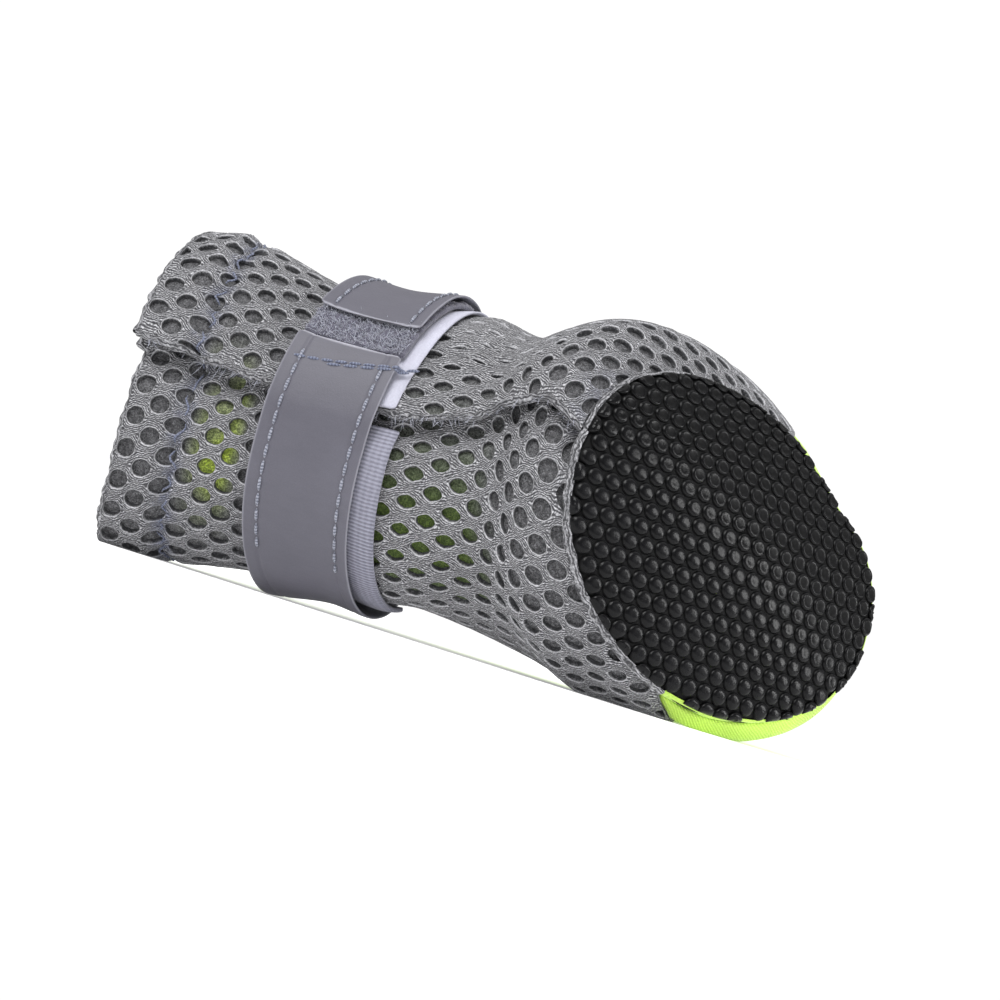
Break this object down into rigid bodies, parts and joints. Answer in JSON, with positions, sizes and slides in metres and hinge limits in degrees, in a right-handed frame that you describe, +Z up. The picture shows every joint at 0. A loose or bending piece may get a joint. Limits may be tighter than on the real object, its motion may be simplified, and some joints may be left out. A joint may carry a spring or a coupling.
{
  "type": "dog boot",
  "caption": "Small dog boot of spacer mesh with a knit front, a dotted anti-slip sole and a reflective fastening strap, lying on its side.",
  "frame": {"origin": "on the floor, at the middle of the bounding box's underside", "axes": "+Z up from the floor, through the boot's right side; +X along the lying boot from collar to toe; -Y is where the sole and the back face"},
  "size_m": [0.12, 0.0562, 0.0572],
  "materials": {
    "spacer_mesh": "grey open spacer mesh",
    "knit_panel": "lime fine knit",
    "sole_rubber": "black cloth with raised rubber dots",
    "insole_felt": "plain felt",
    "reflective_tape": "satin retroreflective tape",
    "webbing": "ribbed pale webbing",
    "loop_pile": "fuzzy loop pile"
  },
  "bodies": {
    "root": {"upper": "spacer_mesh", "front_panel": "knit_panel", "sole": "sole_rubber", "insole": "insole_felt", "strap_tape": "reflective_tape", "strap_webbing": "webbing", "strap_loop_base": "webbing", "strap_loop_pad": "loop_pile"}
  },
  "joints": []
}
